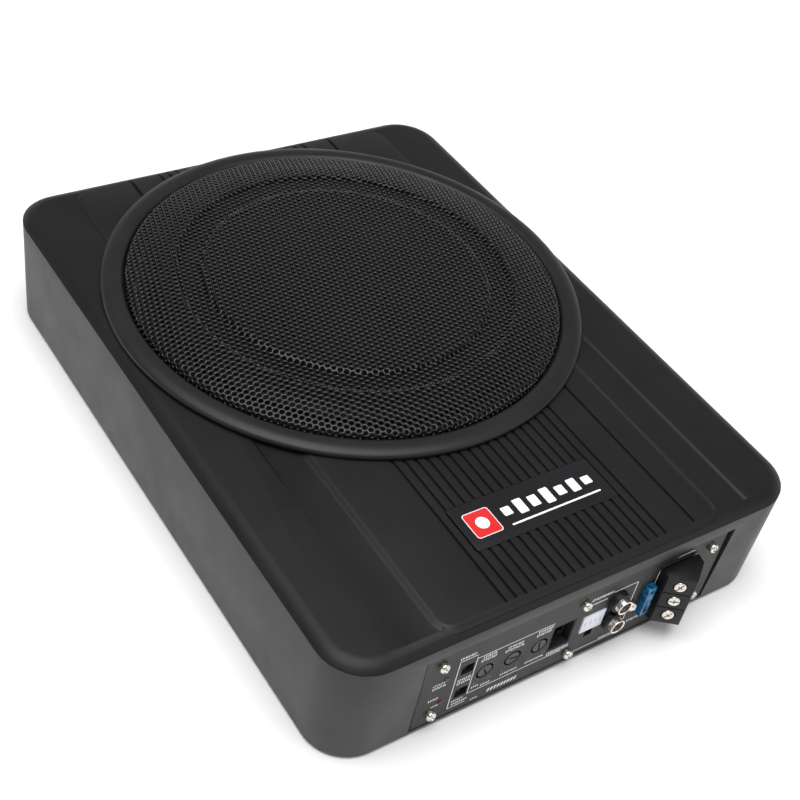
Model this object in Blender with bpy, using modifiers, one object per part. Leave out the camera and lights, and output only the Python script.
"""Slim powered car subwoofer: enclosure, grille, woofer, amplifier and control panel.

Metres, +Z up. The origin is at the middle of the base. X is the width, Y the
length, and the control panel faces -Y.
"""

import math

import bmesh
import bpy
from mathutils import Matrix, Vector

OBJECT_NAME = "powered_car_subwoofer"

# Enclosure
HALF_WIDTH = 0.130
HALF_LENGTH = 0.1725
CORNER_RADIUS = 0.023
CORNER_STEPS = 6
SEAM_Z = 0.0612
COVER_TOP_Z = 0.0648
SEAM_GAP = 0.0002
WALL = 0.004
WALL_DRAFT = 0.001
BASE_ROUND = 0.002
FLOOR_PLATE = 0.002
FIT_GAP = 0.0003

# Top cover
COVER_ROUND = 0.0075
COVER_ARC_ANGLE = math.radians(47.6)
COVER_ARC_STEPS = 3
RAISE = 0.0006
VALLEY = 0.0008
BAND_HALF = 0.0815
BAND_SLOPE = 0.004
BAND_FRONT = -0.1702
BAND_CORNER = 0.010
PAD_HALF = 0.0990
PAD_SLOPE = 0.0020
PAD_BACK = 0.1665
GROOVE_X = 0.0632
GROOVE_WIDTH = 0.0018
GROOVE_DEPTH = 0.0013
RIB_COUNT = 18
RIB_PITCH = 0.0054
RIB_FRONT = -0.1665
RIB_BACK = 0.1685
RIB_INNER_R = 0.1195

# Woofer and grille, on one vertical axis
WOOFER_Y = 0.0412
COVER_HOLE_R = 0.108
ROUND_STEPS = 56
WOOFER_STEPS = 32
SMALL_STEPS = 16
SCREW_STEPS = 12

# Control panel
PANEL_HALF = 0.0868
POCKET_LEFT = -0.0878
POCKET_RIGHT_LOW = 0.0878
POCKET_RIGHT_HIGH = 0.0898
PANEL_LOW = 0.0039
PANEL_HIGH = 0.0532
PANEL_FACE_Y = -0.1713
PANEL_THICK = 0.0014
PANEL_BACK_Y = PANEL_FACE_Y + PANEL_THICK
POCKET_FLOOR_Y = PANEL_BACK_Y + 0.0001
REAR_WALL_Y = -(HALF_LENGTH - WALL)

PANEL_SCREWS = {
    "panel_screw_top_left": (-0.078, 0.0460),
    "panel_screw_top_mid": (0.0008, 0.0443),
    "panel_screw_top_right": (0.078, 0.0460),
    "panel_screw_low_left": (-0.078, 0.0112),
    "panel_screw_low_mid": (0.0, 0.0093),
    "panel_screw_low_right": (0.078, 0.0112),
}
SCREW_HEAD_R = 0.0026
SCREW_HEAD_H = 0.0034
SCREW_SHANK_R = 0.00145
SCREW_SHANK_L = 0.0055
SCREW_HOLE_R = 0.0017

LED_X = -0.0735
LED_Z = {"led_power": 0.0335, "led_protect": 0.0170}
LED_R = 0.0012

SWITCH_X = -0.0623
SWITCH_Z = {"phase_switch": 0.0342, "mode_switch": 0.0175}
SWITCH_OPEN = (0.0066, 0.0062)
SLIDER_SIZE = (0.0030, 0.0026, 0.0044)
SLIDER_TRAVEL = 0.0026

POT_Z = 0.0262
POT_X = {"crossover_pot": -0.0512, "boost_pot": -0.0358, "level_pot": -0.0206}
POT_HEAD_R = 0.0038
POT_NECK_R = 0.0015
POT_BODY = (0.0098, 0.0084, 0.0098)

REMOTE_CENTER = (-0.0078, 0.0266)
REMOTE_SIZE = (0.0126, 0.0170)
REMOTE_MOUTH = (0.0116, 0.0160)
REMOTE_MOUTH_DEPTH = 0.0045
LINE_CENTER = (0.0101, 0.0272)
LINE_SIZE = (0.0130, 0.0114)
LATCH_CENTER = (0.0104, 0.0184)
LATCH_SIZE = (0.0046, 0.0048)

JACK_X = 0.0229
JACK_Z = {"upper": 0.0356, "lower": 0.0218}
JACK_COLLAR_R = 0.0055
JACK_SHELL_R = 0.00415
JACK_FRONT_Y = -0.1773
JACK_COLLAR_Y = -0.1743
JACK_SCREW = (0.0336, 0.0264)

FUSE_CENTER = (0.0420, 0.0272)
FUSE_BODY = (0.0052, 0.0118, 0.0192)
FUSE_HOLDER = (0.0066, 0.0212)
FUSE_FRONT_Y = -0.1747

POWER_CENTER = (0.0583, 0.0294)
POWER_SOCKET = (0.0230, 0.0334)
POWER_CAVITY = (0.0206, 0.0288)
POLE_PITCH = 0.0102
PLUG_BACK_Y = -0.1720
PLUG_OUTLINE = (
    (0.0464, PLUG_BACK_Y),
    (0.0464, -0.1768),
    (0.0574, -0.1853),
    (0.0683, -0.1775),
    (0.0695, PLUG_BACK_Y),
)
PLUG_HALF_HEIGHT = 0.0162
PLUG_SCREW_R = 0.0030

BADGE_HALF = 0.0405
BADGE_Y = (-0.1380, -0.1117)
BADGE_THICK = 0.0006
BADGE_SEAT_Z = COVER_TOP_Z
BADGE_GAP = 0.0002

MATERIALS = {
    "cast_black": ((0.060, 0.058, 0.060), 0.62, 0.0),
    "cover_black": ((0.030, 0.030, 0.031), 0.55, 0.0),
    "ring_black": ((0.034, 0.034, 0.035), 0.50, 0.0),
    "grille_steel": ((0.022, 0.022, 0.023), 0.38, 0.6),
    "plate_steel": ((0.120, 0.120, 0.125), 0.55, 0.8),
    "badge": ((0.040, 0.040, 0.042), 0.35, 0.0),
    "panel_grey": ((0.095, 0.090, 0.092), 0.50, 0.0),
    "screw_nickel": ((0.780, 0.740, 0.680), 0.28, 1.0),
    "jack_brass": ((0.830, 0.700, 0.450), 0.25, 1.0),
    "jack_red": ((0.250, 0.030, 0.035), 0.45, 0.0),
    "black_plastic": ((0.020, 0.020, 0.021), 0.42, 0.0),
    "white_nylon": ((0.780, 0.780, 0.820), 0.45, 0.0),
    "pot_grey": ((0.090, 0.090, 0.092), 0.45, 0.0),
    "led_clear": ((0.550, 0.560, 0.580), 0.20, 0.0),
    "led_red": ((0.420, 0.030, 0.030), 0.25, 0.0),
    "fuse_blue": ((0.010, 0.230, 0.520), 0.22, 0.0),
    "terminal_black": ((0.045, 0.043, 0.048), 0.48, 0.0),
    "board_green": ((0.020, 0.120, 0.050), 0.45, 0.0),
    "copper": ((0.640, 0.300, 0.150), 0.35, 1.0),
    "aluminium": ((0.620, 0.620, 0.630), 0.40, 1.0),
    "cap_sleeve": ((0.030, 0.035, 0.080), 0.35, 0.0),
    "paper_cone": ((0.030, 0.030, 0.032), 0.80, 0.0),
    "rubber": ((0.018, 0.018, 0.018), 0.70, 0.0),
    "spider_cloth": ((0.420, 0.300, 0.120), 0.90, 0.0),
    "ferrite": ((0.060, 0.060, 0.062), 0.60, 0.0),
    "zinc_steel": ((0.560, 0.560, 0.540), 0.38, 1.0),
}


def clear_scene():
    for obj in list(bpy.data.objects):
        bpy.data.objects.remove(obj, do_unlink=True)


def new_collection(name):
    collection = bpy.data.collections.new(name)
    bpy.context.scene.collection.children.link(collection)
    return collection


def make_material(name):
    color, roughness, metallic = MATERIALS[name]
    material = bpy.data.materials.new(name)
    material.use_nodes = True
    shader = material.node_tree.nodes["Principled BSDF"]
    shader.inputs["Base Color"].default_value = (*color, 1.0)
    shader.inputs["Roughness"].default_value = roughness
    shader.inputs["Metallic"].default_value = metallic
    return material


clear_scene()
PARTS = new_collection(OBJECT_NAME)
CUTTERS = new_collection(OBJECT_NAME + "_cutters")
CUTTERS.hide_render = True
SLOTS = {name: make_material(name) for name in MATERIALS}


# ---------------------------------------------------------------- mesh helpers

def place(name, bm, slot=None, location=(0.0, 0.0, 0.0), smooth=30.0):
    """Turn a bmesh into an object: a part if it has a material slot, else a cutter."""
    bmesh.ops.recalc_face_normals(bm, faces=bm.faces)
    mesh = bpy.data.meshes.new(name)
    bm.to_mesh(mesh)
    bm.free()
    obj = bpy.data.objects.new(name, mesh)
    obj.location = location
    if slot:
        mesh.materials.append(SLOTS[slot])
        mesh.shade_smooth()
        mesh.set_sharp_from_angle(angle=math.radians(smooth))
        PARTS.objects.link(obj)
    else:
        obj.hide_render = True
        obj.display_type = "WIRE"
        CUTTERS.objects.link(obj)
    return obj


def combine(target, other, operation):
    modifier = target.modifiers.new(other.name, "BOOLEAN")
    modifier.operation = operation
    modifier.solver = "EXACT"
    modifier.object = other
    return target


def cut(target, other):
    return combine(target, other, "DIFFERENCE")


def fuse(target, other):
    return combine(target, other, "UNION")


def add_box(bm, low, high):
    size = Vector(high) - Vector(low)
    center = (Vector(high) + Vector(low)) / 2
    matrix = Matrix.Translation(center) @ Matrix.Diagonal((*size, 1.0))
    bmesh.ops.create_cube(bm, size=1.0, matrix=matrix)


def box(name, low, high, slot=None, origin=(0.0, 0.0, 0.0)):
    bm = bmesh.new()
    start = Vector(origin)
    add_box(bm, Vector(low) - start, Vector(high) - start)
    return place(name, bm, slot, origin)


def boxes(name, pairs):
    bm = bmesh.new()
    for low, high in pairs:
        add_box(bm, low, high)
    return place(name, bm)


def add_loops(bm, loops, closed):
    """Skin a stack of equal-length loops; a closed stack makes a tube with no caps."""
    rows = [[bm.verts.new(point) for point in loop] for loop in loops]
    count = len(rows[0])
    last = len(rows) if closed else len(rows) - 1
    for level in range(last):
        lower = rows[level]
        upper = rows[(level + 1) % len(rows)]
        for k in range(count):
            j = (k + 1) % count
            bm.faces.new((lower[k], lower[j], upper[j], upper[k]))
    if not closed:
        bm.faces.new(list(reversed(rows[0])))
        bm.faces.new(rows[-1])


def rounded_rect(half_x, half_y, radius, z, center_y=0.0, steps=CORNER_STEPS):
    points = []
    corners = ((1, 1, 0), (-1, 1, 90), (-1, -1, 180), (1, -1, 270))
    for sign_x, sign_y, start in corners:
        for k in range(steps + 1):
            angle = math.radians(start + 90.0 * k / steps)
            x = sign_x * (half_x - radius) + radius * math.cos(angle)
            y = sign_y * (half_y - radius) + radius * math.sin(angle)
            points.append((x, y + center_y, z))
    return points


def inset_outline(inset, z):
    """The enclosure's plan outline, moved in by inset."""
    return rounded_rect(HALF_WIDTH - inset, HALF_LENGTH - inset, CORNER_RADIUS - inset, z)


def add_revolved(bm, profile, steps):
    """Spin a closed (radius, height) outline about Z. Radius 0 lies on the axis."""
    rows = []
    for radius, height in profile:
        if radius == 0.0:
            rows.append([bm.verts.new((0.0, 0.0, height))])
            continue
        row = []
        for k in range(steps):
            angle = 2.0 * math.pi * k / steps
            row.append(bm.verts.new((radius * math.cos(angle), radius * math.sin(angle), height)))
        rows.append(row)
    for index, row in enumerate(rows):
        other = rows[(index + 1) % len(rows)]
        if len(row) == 1 and len(other) == 1:
            continue
        for k in range(steps):
            j = (k + 1) % steps
            if len(row) == 1:
                bm.faces.new((row[0], other[j], other[k]))
            elif len(other) == 1:
                bm.faces.new((row[k], row[j], other[0]))
            else:
                bm.faces.new((row[k], row[j], other[j], other[k]))


def revolve(name, profile, slot=None, location=(0.0, 0.0, 0.0), axis=(0, 0, 1), steps=ROUND_STEPS):
    """Spin an outline about Z, then turn Z onto axis. The object's origin is on the axis."""
    bm = bmesh.new()
    add_revolved(bm, profile, steps)
    turn = Vector((0, 0, 1)).rotation_difference(Vector(axis)).to_matrix()
    bmesh.ops.rotate(bm, verts=bm.verts, cent=(0, 0, 0), matrix=turn)
    return place(name, bm, slot, location)


def add_cylinder_y(bm, x, z, radius, y_low, y_high, steps=SMALL_STEPS):
    loops = []
    for y in (y_low, y_high):
        loop = []
        for k in range(steps):
            angle = 2.0 * math.pi * k / steps
            loop.append((x + radius * math.cos(angle), y, z + radius * math.sin(angle)))
        loops.append(loop)
    add_loops(bm, loops, closed=False)


def prism(name, outline, low, high, slot=None):
    """Extrude an (x, y) outline from low to high."""
    bm = bmesh.new()
    add_loops(bm, [[(x, y, z) for x, y in outline] for z in (low, high)], closed=False)
    return place(name, bm, slot)


def capsule(x, y_low, y_high, width, steps=2):
    """A thin slot's outline along Y with round ends."""
    radius = width / 2
    points = []
    for sign, y in ((1, y_high - radius), (-1, y_low + radius)):
        for k in range(steps + 1):
            angle = math.pi * k / steps
            points.append((x + sign * radius * math.cos(angle), y + sign * radius * math.sin(angle)))
    return points


# ------------------------------------------------------------------- enclosure

def lower_casing():
    outer = (
        (WALL_DRAFT + BASE_ROUND, 0.0),
        (WALL_DRAFT + 0.45 * BASE_ROUND, 0.18 * BASE_ROUND),
        (WALL_DRAFT + 0.10 * BASE_ROUND, 0.60 * BASE_ROUND),
        (WALL_DRAFT, 1.2 * BASE_ROUND),
        (0.0, SEAM_Z - SEAM_GAP),
    )
    inner = ((WALL, SEAM_Z - SEAM_GAP), (WALL, 0.0))
    bm = bmesh.new()
    add_loops(bm, [inset_outline(inset, z) for inset, z in outer + inner], closed=True)
    casing = place("lower_casing", bm, "cast_black")

    pocket_low = PANEL_LOW - FIT_GAP
    pocket_high = PANEL_HIGH + FIT_GAP
    pocket = (
        (POCKET_LEFT, pocket_low),
        (POCKET_RIGHT_LOW, pocket_low),
        (POCKET_RIGHT_HIGH, pocket_high),
        (POCKET_LEFT, pocket_high),
    )
    bm = bmesh.new()
    loops = [[(x, y, z) for x, z in pocket] for y in (-HALF_LENGTH - 0.01, POCKET_FLOOR_Y)]
    add_loops(bm, loops, closed=False)
    cut(casing, place("panel_pocket", bm))

    window = (
        (-0.0757, 0.0123),
        (0.0716, 0.0123),
        (0.0716, 0.0468),
        (0.0165, 0.0468),
        (0.0165, 0.0415),
        (-0.0757, 0.0415),
    )
    bm = bmesh.new()
    loops = [[(x, y, z) for x, z in window] for y in (-HALF_LENGTH, REAR_WALL_Y + 0.005)]
    add_loops(bm, loops, closed=False)
    cut(casing, place("panel_window", bm))

    bm = bmesh.new()
    for x, z in PANEL_SCREWS.values():
        add_cylinder_y(bm, x, z, SCREW_HOLE_R, -HALF_LENGTH, REAR_WALL_Y + 0.005, SCREW_STEPS)
    cut(casing, place("casing_screw_holes", bm))
    return casing


def bottom_plate():
    bm = bmesh.new()
    inset = WALL + FIT_GAP
    add_loops(bm, [inset_outline(inset, 0.0), inset_outline(inset, FLOOR_PLATE)], closed=False)
    return place("bottom_plate", bm, "plate_steel")


def cover_edge():
    """Inset and height along the cover's rounded edge, from the seam to the flat top."""
    radius = COVER_ROUND / math.sin(COVER_ARC_ANGLE)
    drop = radius * (1.0 - math.cos(COVER_ARC_ANGLE))
    points = [(0.0, COVER_TOP_Z - drop)]
    for k in range(1, COVER_ARC_STEPS + 1):
        angle = COVER_ARC_ANGLE * (1.0 - k / COVER_ARC_STEPS)
        inset = COVER_ROUND - radius * math.sin(angle)
        points.append((inset, COVER_TOP_Z - radius * (1.0 - math.cos(angle))))
    return points


def raised_pad(name, half_x, y_low, y_high, slope):
    """A low plateau with sloping sides, to be fused to the cover."""
    middle = (y_low + y_high) / 2
    half_y = (y_high - y_low) / 2
    bm = bmesh.new()
    loops = []
    levels = ((0.0, SEAM_Z + 0.001), (0.0, COVER_TOP_Z - VALLEY), (slope, COVER_TOP_Z + RAISE))
    for inset, z in levels:
        radius = BAND_CORNER - inset
        loops.append(rounded_rect(half_x - inset, half_y - inset, radius, z, middle, 4))
    add_loops(bm, loops, closed=False)
    return place(name, bm)


def cover_slots():
    """The ribbed field's slots and the side grooves, in front of and behind the grille."""
    bm = bmesh.new()
    floor = COVER_TOP_Z + RAISE - GROOVE_DEPTH
    top = COVER_TOP_Z + 0.003
    xs = [(k - (RIB_COUNT - 1) / 2) * RIB_PITCH for k in range(RIB_COUNT)]
    for x in xs + [-GROOVE_X, GROOVE_X]:
        reach = math.sqrt(RIB_INNER_R ** 2 - x ** 2)
        runs = [(WOOFER_Y + reach, RIB_BACK)]
        if x > -GROOVE_X:
            runs.append((RIB_FRONT, WOOFER_Y - reach))
        for y_low, y_high in runs:
            outline = capsule(x, y_low, y_high, GROOVE_WIDTH)
            add_loops(bm, [[(px, py, z) for px, py in outline] for z in (floor, top)], closed=False)
    return place("cover_slots", bm)


def valley_cutter():
    """Two shallow valleys beside the raised band, open to the grille ring."""
    bm = bmesh.new()
    floor = COVER_TOP_Z - VALLEY
    for side in (-1, 1):
        section = (
            (side * 0.0790, floor),
            (side * 0.0972, floor),
            (side * 0.0988, COVER_TOP_Z + 0.003),
            (side * 0.0790, COVER_TOP_Z + 0.003),
        )
        add_loops(bm, [[(x, y, z) for x, z in section] for y in (-0.1660, -0.020)], closed=False)
    return place("cover_valleys", bm)


def badge_outline(inset, z):
    middle = (BADGE_Y[0] + BADGE_Y[1]) / 2
    half_y = (BADGE_Y[1] - BADGE_Y[0]) / 2
    return rounded_rect(BADGE_HALF - inset, half_y - inset, 0.0015 - inset, z, middle, 2)


def badge_seat():
    """A shallow pocket across the ribs for the badge plate."""
    bm = bmesh.new()
    levels = (BADGE_SEAT_Z, COVER_TOP_Z + 0.003)
    add_loops(bm, [badge_outline(-BADGE_GAP, z) for z in levels], closed=False)
    return place("badge_seat", bm)


def top_cover():
    edge = cover_edge()
    loops = [inset_outline(0.0, SEAM_Z)]
    loops += [inset_outline(inset, z) for inset, z in edge if z > SEAM_Z + 1e-5]
    bm = bmesh.new()
    add_loops(bm, loops, closed=False)
    cover = place("top_cover", bm, "cover_black", smooth=40.0)
    cut(cover, valley_cutter())
    fuse(cover, raised_pad("front_band", BAND_HALF, BAND_FRONT, -0.030, BAND_SLOPE))
    fuse(cover, raised_pad("rear_pad", PAD_HALF, 0.110, PAD_BACK, PAD_SLOPE))
    cut(cover, cover_slots())
    cut(cover, badge_seat())
    low = SEAM_Z - 0.005
    high = COVER_TOP_Z + 0.005
    hole = ((0.0, low), (COVER_HOLE_R, low), (COVER_HOLE_R, high), (0.0, high))
    cut(cover, revolve("woofer_hole", hole, location=(0.0, WOOFER_Y, 0.0)))
    return cover


def badge_plate():
    """A blank badge set into the ribs, level with their tops."""
    low = BADGE_SEAT_Z + 0.0001
    high = low + BADGE_THICK
    bm = bmesh.new()
    loops = [badge_outline(0.0, low), badge_outline(0.0, high - 0.0002), badge_outline(0.0002, high)]
    add_loops(bm, loops, closed=False)
    return place("badge_plate", bm, "badge")


# ---------------------------------------------------------------------- grille

def grille_ring():
    z = COVER_TOP_Z
    profile = (
        (0.1139, z + 0.0008),
        (0.1250, z + 0.0008),
        (0.1254, z + 0.0022),
        (0.1249, z + 0.0032),
        (0.1234, z + 0.0041),
        (0.1205, z + 0.0048),
        (0.1175, z + 0.0048),
        (0.1153, z + 0.0042),
        (0.1142, z + 0.0031),
        (0.1139, z + 0.0018),
    )
    return revolve("grille_ring", profile, "ring_black", (0.0, WOOFER_Y, 0.0))


def grille_mesh():
    """The dished grille, with the pressed channel between its centre disc and its rim."""
    z = COVER_TOP_Z
    skin = 0.0010
    outer = (
        (0.0, 0.0105),
        (0.0742, 0.0105),
        (0.0754, 0.0093),
        (0.0868, 0.0091),
        (0.0880, 0.0102),
        (0.0970, 0.0090),
        (0.1060, 0.0072),
        (0.1115, 0.0060),
        (0.1130, 0.0048),
        (0.1134, 0.0009),
    )
    inner = (
        (0.1124, 0.0009),
        (0.1120, 0.0042),
        (0.1110, 0.0050),
        (0.1058, 0.0062),
        (0.0968, 0.0080),
        (0.0884, 0.0091),
        (0.0872, 0.0081),
        (0.0750, 0.0083),
        (0.0738, 0.0095),
        (0.0, 0.0105 - skin),
    )
    profile = [(radius, z + height) for radius, height in outer + inner]
    return revolve("grille_mesh", profile, "grille_steel", (0.0, WOOFER_Y, 0.0))


# ---------------------------------------------------------------------- woofer

def woofer_part(name, profile, slot, steps=WOOFER_STEPS):
    return revolve(name, profile, slot, (0.0, WOOFER_Y, 0.0), steps=steps)


def woofer_basket():
    profile = (
        (0.1180, 0.0608),
        (0.1180, 0.0582),
        (0.1085, 0.0582),
        (0.1045, 0.0445),
        (0.0760, 0.0303),
        (0.0670, 0.0303),
        (0.0590, 0.0238),
        (0.0270, 0.0238),
        (0.0270, 0.0262),
        (0.0580, 0.0262),
        (0.0660, 0.0328),
        (0.0740, 0.0328),
        (0.1010, 0.0460),
        (0.1010, 0.0608),
    )
    basket = woofer_part("woofer_basket", profile, "zinc_steel")
    windows = 6
    bm = bmesh.new()
    for k in range(windows):
        part = bmesh.new()
        add_box(part, (0.0785, -0.030, 0.0290), (0.0995, 0.030, 0.0560))
        turn = Matrix.Rotation(2.0 * math.pi * k / windows, 4, "Z")
        bmesh.ops.transform(part, matrix=turn, verts=part.verts)
        scratch = bpy.data.meshes.new("window")
        part.to_mesh(scratch)
        part.free()
        bm.from_mesh(scratch)
        bpy.data.meshes.remove(scratch)
    cut(basket, place("basket_windows", bm, location=(0.0, WOOFER_Y, 0.0)))
    return basket


def surround():
    """A half-roll of rubber between the basket's flange and the cone's rim."""
    middle = 0.0935
    outer_r = 0.0060
    inner_r = 0.0050
    base = 0.0611
    steps = 5
    roll_top = []
    roll_under = []
    for k in range(steps + 1):
        angle = math.pi * k / steps
        roll_top.append((middle + outer_r * math.cos(angle), base + 0.0008 + outer_r * math.sin(angle)))
        roll_under.append((middle + inner_r * math.cos(angle), base + 0.0001 + inner_r * math.sin(angle)))
    profile = [(0.1070, base), (0.1070, base + 0.0008)]
    profile += roll_top
    profile += [(0.0835, base + 0.0008), (0.0835, base)]
    profile += list(reversed(roll_under))
    return woofer_part("surround", profile, "rubber")


def cone():
    profile = ((0.0875, 0.0608), (0.0875, 0.0598), (0.0259, 0.0440), (0.0259, 0.0452), (0.0550, 0.0526))
    return woofer_part("cone", profile, "paper_cone")


def dust_cap():
    rim_r = 0.0330
    rim_z = 0.0475
    rise = 0.0075
    skin = 0.0008
    steps = 3
    outer = []
    inner = []
    for k in range(steps + 1):
        part = 1.0 - k / steps
        lift = 1.0 - part * part
        outer.append((rim_r * part, rim_z + skin + rise * lift))
        inner.append((rim_r * part, rim_z + rise * lift))
    profile = outer + list(reversed(inner))
    return woofer_part("dust_cap", profile, "paper_cone", steps=24)


def voice_coil():
    """The former with its winding, which stands in the magnet's gap."""
    profile = (
        (0.0246, 0.0440),
        (0.0246, 0.0150),
        (0.0256, 0.0150),
        (0.0256, 0.0260),
        (0.0252, 0.0262),
        (0.0252, 0.0440),
    )
    return woofer_part("voice_coil", profile, "copper")


def spider():
    """The corrugated suspension between the former and the basket's ledge."""
    inner_r = 0.0257
    outer_r = 0.0738
    base = 0.0333
    wave = 0.0011
    skin = 0.0006
    steps = 6
    upper = []
    lower = []
    for k in range(steps + 1):
        radius = inner_r + (outer_r - inner_r) * k / steps
        height = base + wave * (1.0 - math.cos(math.pi * k))
        upper.append((radius, height + skin))
        lower.append((radius, height))
    return woofer_part("spider", upper + list(reversed(lower)), "spider_cloth", steps=24)


def motor():
    plate = ((0.0264, 0.0174), (0.0550, 0.0174), (0.0550, 0.0235), (0.0264, 0.0235))
    magnet = ((0.0320, 0.0078), (0.0580, 0.0078), (0.0580, 0.0171), (0.0320, 0.0171))
    yoke = (
        (0.0, 0.0028),
        (0.0530, 0.0028),
        (0.0545, 0.0042),
        (0.0545, 0.0075),
        (0.0238, 0.0075),
        (0.0238, 0.0235),
        (0.0, 0.0235),
    )
    woofer_part("top_plate", plate, "zinc_steel")
    woofer_part("magnet", magnet, "ferrite")
    woofer_part("yoke", yoke, "zinc_steel")


# --------------------------------------------------------------- control panel

def face_box(center, size, y_low, y_high):
    """Corners of a box centred at (x, z) on the panel."""
    x, z = center
    half_x = size[0] / 2
    half_z = size[1] / 2
    return (x - half_x, y_low, z - half_z), (x + half_x, y_high, z + half_z)


def grown(size, gap=FIT_GAP):
    return (size[0] + 2 * gap, size[1] + 2 * gap)


def control_panel():
    panel = box(
        "control_panel",
        (-PANEL_HALF, PANEL_FACE_Y, PANEL_LOW),
        (PANEL_HALF, PANEL_BACK_Y, PANEL_HIGH),
        "panel_grey",
    )
    y_low = PANEL_FACE_Y - 0.005
    y_high = PANEL_BACK_Y + 0.005

    bm = bmesh.new()
    for x, z in list(PANEL_SCREWS.values()) + [JACK_SCREW]:
        add_cylinder_y(bm, x, z, SCREW_HOLE_R, y_low, y_high, SCREW_STEPS)
    for z in LED_Z.values():
        add_cylinder_y(bm, LED_X, z, LED_R + 0.0002, y_low, y_high, SCREW_STEPS)
    for x in POT_X.values():
        add_cylinder_y(bm, x, POT_Z, POT_HEAD_R + 0.0007, y_low, y_high)
    for z in JACK_Z.values():
        add_cylinder_y(bm, JACK_X, z, JACK_COLLAR_R + 0.0002, y_low, y_high)
    cut(panel, place("panel_round_holes", bm))

    openings = [
        face_box(REMOTE_CENTER, grown(REMOTE_SIZE), y_low, y_high),
        face_box(LINE_CENTER, grown(LINE_SIZE), y_low, y_high),
        face_box(LATCH_CENTER, LATCH_SIZE, y_low, y_high),
        face_box(FUSE_CENTER, grown(FUSE_HOLDER), y_low, y_high),
        face_box(POWER_CENTER, grown(POWER_SOCKET), y_low, y_high),
    ]
    for z in SWITCH_Z.values():
        openings.append(face_box((SWITCH_X, z), SWITCH_OPEN, y_low, y_high))
    cut(panel, boxes("panel_square_holes", openings))
    return panel


def pan_screw(name, x, z, seat_y):
    """A cross-head pan screw pointing into the panel, its axis through its origin."""
    head_r = SCREW_HEAD_R
    head = SCREW_HEAD_H
    profile = (
        (0.0, head),
        (0.60 * head_r, 0.95 * head),
        (head_r, 0.45 * head),
        (head_r, 0.0),
        (SCREW_SHANK_R, 0.0),
        (SCREW_SHANK_R, -SCREW_SHANK_L),
        (0.0, -SCREW_SHANK_L - 0.0004),
    )
    location = (x, seat_y, z)
    screw = revolve(name, profile, "screw_nickel", location, (0, -1, 0), SCREW_STEPS)
    half = 0.00035
    reach = 0.0016
    cross = (
        (half, half),
        (half, reach),
        (-half, reach),
        (-half, half),
        (-reach, half),
        (-reach, -half),
        (-half, -half),
        (-half, -reach),
        (half, -reach),
        (half, -half),
        (reach, -half),
        (reach, half),
    )
    bm = bmesh.new()
    ys = (seat_y - head - 0.001, seat_y - 0.4 * head)
    add_loops(bm, [[(x + dx, y, z + dz) for dx, dz in cross] for y in ys], closed=False)
    return cut(screw, place(name + "_recess", bm))


def leds():
    slots = {"led_power": "led_clear", "led_protect": "led_red"}
    profile = (
        (0.0, 0.0008),
        (0.6 * LED_R, 0.0006),
        (LED_R, 0.0),
        (LED_R, -0.0040),
        (0.0, -0.0040),
    )
    for name, z in LED_Z.items():
        revolve(name, profile, slots[name], (LED_X, PANEL_FACE_Y, z), (0, -1, 0), SCREW_STEPS)


def switches():
    for name, z in SWITCH_Z.items():
        front = PANEL_BACK_Y + 0.0003
        low, high = face_box((SWITCH_X, z), (0.0092, 0.0090), front, front + 0.0080)
        body = box(name + "_body", low, high, "black_plastic")
        well = face_box((SWITCH_X, z), (0.0066, 0.0056), front - 0.001, front + 0.0024)
        cut(body, boxes(name + "_well", [well]))

        width, depth, height = SLIDER_SIZE
        x = SWITCH_X - SLIDER_TRAVEL / 2
        back = front + 0.0020
        origin = (x, back - depth / 2, z)
        box(
            name + "_slider",
            (x - width / 2, back - depth, z - height / 2),
            (x + width / 2, back, z + height / 2),
            "black_plastic",
            origin,
        )


def potentiometers():
    for name, x in POT_X.items():
        front = PANEL_BACK_Y + 0.0004
        size_x, size_y, size_z = POT_BODY
        low, high = face_box((x, POT_Z), (size_x, size_z), front, front + size_y)
        body = box(name + "_body", low, high, "black_plastic")
        bm = bmesh.new()
        add_cylinder_y(bm, x, POT_Z, POT_NECK_R + 0.0001, front - 0.001, front + 0.0062)
        cut(body, place(name + "_bore", bm))

        profile = (
            (0.0, 0.0002),
            (POT_HEAD_R - 0.0003, 0.0002),
            (POT_HEAD_R, -0.0001),
            (POT_HEAD_R, -0.0014),
            (POT_NECK_R, -0.0014),
            (POT_NECK_R, -0.0070),
            (0.0, -0.0070),
        )
        shaft = revolve(
            name + "_shaft", profile, "pot_grey", (x, PANEL_FACE_Y, POT_Z), (0, -1, 0), SMALL_STEPS
        )
        slot = box(
            name + "_slot",
            (x - 0.0028, PANEL_FACE_Y - 0.001, POT_Z - 0.0005),
            (x + 0.0028, PANEL_FACE_Y + 0.0007, POT_Z + 0.0005),
        )
        cut(shaft, slot)


def remote_socket():
    """A keyed modular socket for a wired level control."""
    low, high = face_box(REMOTE_CENTER, REMOTE_SIZE, PANEL_FACE_Y + 0.0001, PANEL_FACE_Y + 0.0140)
    socket = box("remote_socket", low, high, "black_plastic")
    x, z = REMOTE_CENTER
    outline = (
        (x - 0.0048, z - 0.0040),
        (x - 0.0022, z - 0.0040),
        (x - 0.0022, z - 0.0064),
        (x + 0.0022, z - 0.0064),
        (x + 0.0022, z - 0.0040),
        (x + 0.0048, z - 0.0040),
        (x + 0.0048, z + 0.0062),
        (x - 0.0048, z + 0.0062),
    )
    bm = bmesh.new()
    ys = (PANEL_FACE_Y - 0.002, PANEL_FACE_Y + 0.0115)
    add_loops(bm, [[(px, y, pz) for px, pz in outline] for y in ys], closed=False)
    cut(socket, place("remote_cavity", bm))
    mouth = face_box(REMOTE_CENTER, REMOTE_MOUTH, PANEL_FACE_Y - 0.002, PANEL_FACE_Y + REMOTE_MOUTH_DEPTH)
    return cut(socket, boxes("remote_mouth", [mouth]))


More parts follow.
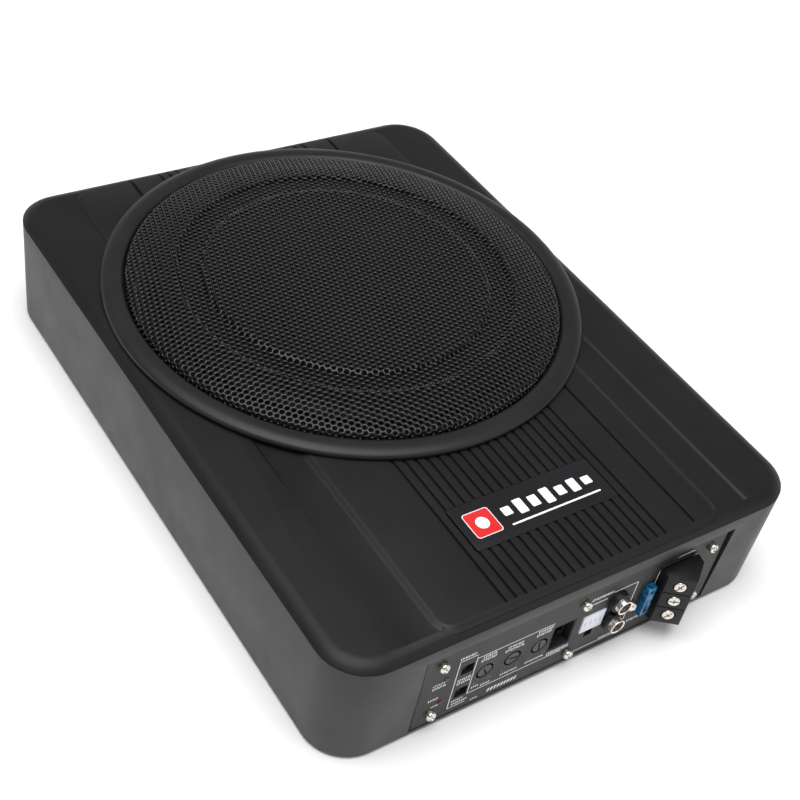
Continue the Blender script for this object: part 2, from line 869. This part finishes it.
def line_header():
    """The white speaker-level connector, with a row of narrow contact slots."""
    front = PANEL_FACE_Y - 0.0006
    low, high = face_box(LINE_CENTER, LINE_SIZE, front, PANEL_FACE_Y + 0.0120)
    header = box("line_header", low, high, "white_nylon")
    x, z = LINE_CENTER
    contacts = 4
    pitch = 0.0030
    slots = []
    for k in range(contacts):
        px = x + (k - (contacts - 1) / 2) * pitch
        slots.append(((px - 0.0003, front - 0.001, z - 0.0016), (px + 0.0003, front + 0.003, z + 0.0016)))
    return cut(header, boxes("line_contacts", slots))


def jacks():
    block_back = PANEL_BACK_Y + 0.0140
    block = box(
        "jack_block",
        (0.0178, PANEL_BACK_Y + 0.0003, 0.0140),
        (0.0362, block_back, 0.0428),
        "black_plastic",
    )
    for name, z in JACK_Z.items():
        bm = bmesh.new()
        add_cylinder_y(bm, JACK_X, z, JACK_COLLAR_R, JACK_COLLAR_Y, PANEL_BACK_Y + 0.002)
        fuse(block, place("jack_collar_" + name, bm))
    bm = bmesh.new()
    for z in JACK_Z.values():
        add_cylinder_y(bm, JACK_X, z, JACK_SHELL_R + 0.0002, JACK_COLLAR_Y - 0.002, PANEL_FACE_Y + 0.0062)
    x, z = JACK_SCREW
    add_cylinder_y(bm, x, z, SCREW_HOLE_R, PANEL_FACE_Y, PANEL_BACK_Y + 0.008, SCREW_STEPS)
    cut(block, place("jack_bores", bm))

    shell_len = PANEL_FACE_Y + 0.0058 - JACK_FRONT_Y
    bore_r = 0.0033
    shell = (
        (JACK_SHELL_R, -0.0003),
        (JACK_SHELL_R, -shell_len),
        (bore_r, -shell_len),
        (bore_r, 0.0),
        (JACK_SHELL_R - 0.0003, 0.0),
    )
    insert = (
        (0.0016, -0.0012),
        (0.0031, -0.0012),
        (0.0031, -shell_len),
        (0.0, -shell_len),
        (0.0, -0.0072),
        (0.0016, -0.0072),
    )
    for name, z in JACK_Z.items():
        location = (JACK_X, JACK_FRONT_Y, z)
        revolve("jack_shell_" + name, shell, "jack_brass", location, (0, -1, 0), SMALL_STEPS)
        revolve("jack_insert_" + name, insert, "jack_red", location, (0, -1, 0), SMALL_STEPS)


def blade_fuse():
    """A blade fuse standing in its holder, which it pulls out of along -Y."""
    x, z = FUSE_CENTER
    width, depth, height = FUSE_BODY
    back = FUSE_FRONT_Y + depth
    holder_front = PANEL_FACE_Y - 0.0002
    low, high = face_box(FUSE_CENTER, FUSE_HOLDER, holder_front, back + 0.0090)
    holder = box("fuse_holder", low, high, "black_plastic")
    well = face_box(FUSE_CENTER, grown((width, height)), holder_front - 0.001, back + FIT_GAP)
    cut(holder, boxes("fuse_well", [well]))
    blade_z = 0.0062
    blade_half = 0.0026
    tip = back + 0.0070
    slots = []
    for side in (-1, 1):
        center = z + side * blade_z
        slots.append((
            (x - 0.0007, back - 0.001, center - blade_half - 0.0003),
            (x + 0.0007, tip + 0.0004, center + blade_half + 0.0003),
        ))
    cut(holder, boxes("fuse_holder_slots", slots))

    origin = (x, FUSE_FRONT_Y, z)
    low, high = face_box(FUSE_CENTER, (width, height), FUSE_FRONT_Y, back)
    body = box("fuse_body", low, high, "fuse_blue", origin)
    bevel = body.modifiers.new("edges", "BEVEL")
    bevel.width = 0.0004
    bevel.segments = 1
    link_front = FUSE_FRONT_Y + 0.0040
    slot_gap = 0.0001
    pocket = (
        (x - 0.0004 - slot_gap, link_front - slot_gap, z - blade_z - blade_half - slot_gap),
        (x + 0.0004 + slot_gap, back + 0.001, z + blade_z + blade_half + slot_gap),
    )
    cut(body, boxes("fuse_body_pocket", [pocket]))

    outline = (
        (tip, -blade_z - blade_half),
        (link_front, -blade_z - blade_half),
        (link_front, blade_z + blade_half),
        (tip, blade_z + blade_half),
        (tip, blade_z - blade_half),
        (link_front + 0.0030, blade_z - blade_half),
        (link_front + 0.0030, -blade_z + blade_half),
        (tip, -blade_z + blade_half),
    )
    bm = bmesh.new()
    loops = []
    for dx in (-0.0004, 0.0004):
        loops.append([(dx, y - FUSE_FRONT_Y, dz) for y, dz in outline])
    add_loops(bm, loops, closed=False)
    place("fuse_element", bm, "zinc_steel", origin)


def pole_heights():
    z = POWER_CENTER[1]
    return [z + k * POLE_PITCH for k in (1, 0, -1)]


def plug_screw_face():
    """Middle and outward normal of the plug's angled screw face."""
    start = Vector((*PLUG_OUTLINE[1], 0.0))
    end = Vector((*PLUG_OUTLINE[2], 0.0))
    along = (end - start).normalized()
    normal = Vector((along.y, -along.x, 0.0))
    return (start + end) / 2, normal


def power_terminal():
    socket_front = PANEL_FACE_Y - 0.0002
    low, high = face_box(POWER_CENTER, POWER_SOCKET, socket_front, PANEL_FACE_Y + 0.0145)
    socket = box("power_socket", low, high, "black_plastic")
    cavity_back = PANEL_FACE_Y + 0.0112
    cavity = face_box(POWER_CENTER, POWER_CAVITY, socket_front - 0.001, cavity_back)
    cut(socket, boxes("power_cavity", [cavity]))

    z = POWER_CENTER[1]
    plug = prism("power_plug", PLUG_OUTLINE, z - PLUG_HALF_HEIGHT, z + PLUG_HALF_HEIGHT, "terminal_black")
    tongue_size = (POWER_CAVITY[0] - 0.0008, POWER_CAVITY[1] - 0.0008)
    tongue = face_box(POWER_CENTER, tongue_size, PLUG_BACK_Y - 0.001, cavity_back - 0.0006)
    fuse(plug, boxes("plug_tongue", [tongue]))

    middle, normal = plug_screw_face()
    for index, height in enumerate(pole_heights()):
        center = Vector((middle.x, middle.y, height))
        well = ((0.0, 0.002), (0.0, -0.0062), (0.0019, -0.0062), (0.0019, -0.0018))
        well += ((PLUG_SCREW_R + 0.0003, -0.0018), (PLUG_SCREW_R + 0.0003, 0.002))
        cut(plug, revolve("plug_well_%d" % (index + 1), well, location=center, axis=normal, steps=SMALL_STEPS))

        profile = (
            (0.0, 0.0004),
            (PLUG_SCREW_R - 0.0004, 0.0004),
            (PLUG_SCREW_R, 0.0),
            (PLUG_SCREW_R, -0.0015),
            (0.0016, -0.0015),
            (0.0016, -0.0058),
            (0.0, -0.0058),
        )
        name = "plug_screw_%d" % (index + 1)
        screw = revolve(name, profile, "screw_nickel", center, normal, SMALL_STEPS)
        bm = bmesh.new()
        add_box(bm, (-0.0024, -0.0004, -0.0006), (0.0024, 0.0004, 0.002))
        turn = Vector((0, 0, 1)).rotation_difference(normal).to_matrix()
        bmesh.ops.rotate(bm, verts=bm.verts, cent=(0, 0, 0), matrix=turn)
        cut(screw, place(name + "_slot", bm, location=center))

    entries = []
    for height in pole_heights():
        entries.append(((0.0592, -0.1821, height - 0.0029), (0.0750, -0.1783, height + 0.0029)))
    cut(plug, boxes("plug_wire_entries", entries))

    bm = bmesh.new()
    for height in (POLE_PITCH / 2, -POLE_PITCH / 2):
        add_box(bm, (-0.0004, -0.0100, height - 0.0003), (0.0010, 0.0060, height + 0.0003))
    turn = Matrix.Rotation(math.atan2(normal.y, normal.x), 3, "Z")
    bmesh.ops.rotate(bm, verts=bm.verts, cent=(0, 0, 0), matrix=turn)
    cut(plug, place("plug_pole_lines", bm, location=(middle.x, middle.y, z)))
    return plug


# ------------------------------------------------------------------- amplifier

def amplifier():
    board_low = 0.0070
    board_top = 0.0086
    box("amplifier_board", (-0.080, -0.1560, board_low), (0.080, -0.0900, board_top), "board_green")

    post = (
        (0.0, 0.0),
        (0.0030, 0.0),
        (0.0030, board_low - FLOOR_PLATE - 0.0005),
        (0.0, board_low - FLOOR_PLATE - 0.0005),
    )
    for index, (x, y) in enumerate(((-0.074, -0.150), (0.074, -0.150), (-0.074, -0.096), (0.074, -0.096))):
        location = (x, y, FLOOR_PLATE + FIT_GAP)
        revolve("board_post_%d" % (index + 1), post, "zinc_steel", location, steps=6)

    rest = board_top + FIT_GAP
    core = (
        (0.0080, 0.0020),
        (0.0100, 0.0),
        (0.0180, 0.0),
        (0.0200, 0.0020),
        (0.0200, 0.0160),
        (0.0180, 0.0180),
        (0.0100, 0.0180),
        (0.0080, 0.0160),
    )
    revolve("toroid_transformer", core, "copper", (-0.048, -0.122, rest), steps=24)

    can = (
        (0.0, 0.0),
        (0.0085, 0.0),
        (0.0090, 0.0006),
        (0.0090, 0.0300),
        (0.0082, 0.0310),
        (0.0, 0.0310),
    )
    for index, x in enumerate((0.000, 0.022)):
        revolve("capacitor_%d" % (index + 1), can, "cap_sleeve", (x, -0.126, rest), steps=SMALL_STEPS)

    box("heat_bar", (0.040, -0.1300, rest), (0.074, -0.1060, rest + 0.0200), "aluminium")


# ---------------------------------------------------------------------- build

def build():
    lower_casing()
    bottom_plate()
    top_cover()
    badge_plate()
    grille_ring()
    grille_mesh()

    woofer_basket()
    surround()
    cone()
    dust_cap()
    voice_coil()
    spider()
    motor()

    control_panel()
    seat = PANEL_FACE_Y - 0.0002
    for name, (x, z) in PANEL_SCREWS.items():
        pan_screw(name, x, z, seat)
    pan_screw("jack_screw", JACK_SCREW[0], JACK_SCREW[1], seat)
    leds()
    switches()
    potentiometers()
    remote_socket()
    line_header()
    jacks()
    blade_fuse()
    power_terminal()
    amplifier()


build()
